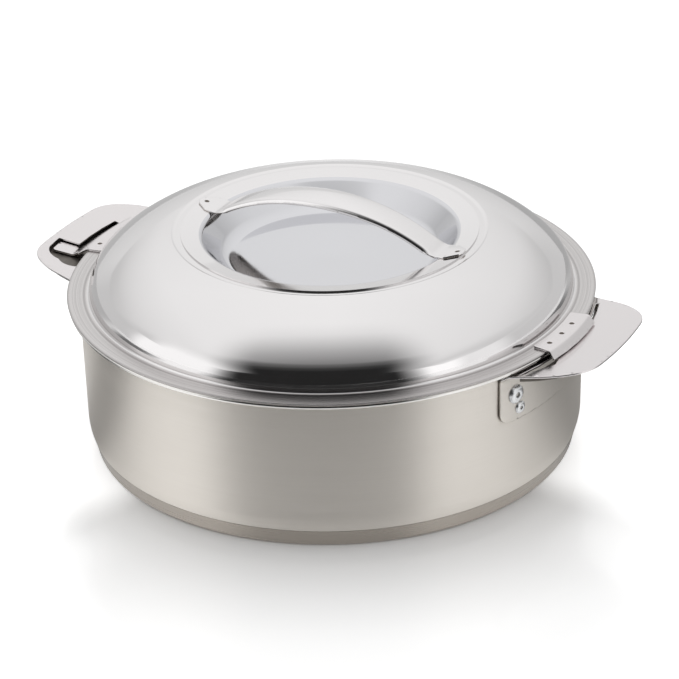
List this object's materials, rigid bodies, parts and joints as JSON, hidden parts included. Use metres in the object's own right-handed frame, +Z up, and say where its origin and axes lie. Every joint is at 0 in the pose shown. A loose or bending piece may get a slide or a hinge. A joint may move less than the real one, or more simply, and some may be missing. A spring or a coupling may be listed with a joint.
{
  "type": "insulated casserole",
  "caption": "Round double-walled stainless casserole with wing handles, a twist-locking domed lid and a strap handle bridging the lid's finger recess.",
  "frame": {"origin": "centre of the ring the casserole stands on, at table level, on the pot's axis", "axes": "+Z up the pot's axis, +X towards the handle whose wing has the narrow leaf slot, -X towards the handle with the window"},
  "size_m": [0.302, 0.2516, 0.1234],
  "materials": {
    "polished_steel": "mirror-polished stainless steel",
    "cup_steel": "polished stainless steel",
    "brushed_shell": "stainless steel brushed around the body",
    "bowl_steel": "satin stainless steel with a polished rim",
    "base_steel": "satin stainless steel",
    "liner_steel": "satin stainless steel",
    "pan_steel": "unpolished pressed stainless steel",
    "rivet_metal": "bright blind-rivet body",
    "pin_metal": "broken-off steel pin",
    "foam": "rigid polyurethane foam, out of sight"
  },
  "bodies": {
    "pot": {"outer_shell": "brushed_shell", "inner_bowl": "bowl_steel", "pot_insulation": "foam", "base_cap": "base_steel", "handle_right": "polished_steel", "handle_left": "polished_steel", "lock_keeper_right": "pan_steel", "lock_keeper_left": "pan_steel", "rivets_right": "rivet_metal", "rivets_left": "rivet_metal", "rivet_pins_right": "pin_metal", "rivet_pins_left": "pin_metal"},
    "lid_lift": {"lid_liner": "liner_steel"},
    "lid": {"lid_cover": "polished_steel", "recess_cup": "cup_steel", "lid_insulation": "foam", "lock_lug_left": "polished_steel", "lock_lug_right": "polished_steel", "strap_handle": "polished_steel"}
  },
  "joints": [
    {"name": "lid_lift", "type": "slide", "parent": "pot", "child": "lid_lift", "axis": [0, 0, 1], "range_m": [0, 0.1]},
    {"name": "lid_twist", "type": "hinge", "parent": "lid_lift", "child": "lid", "pos_m": [0, 0, 0.078], "axis": [0, 0, -1], "range_deg": [0, 8]}
  ]
}
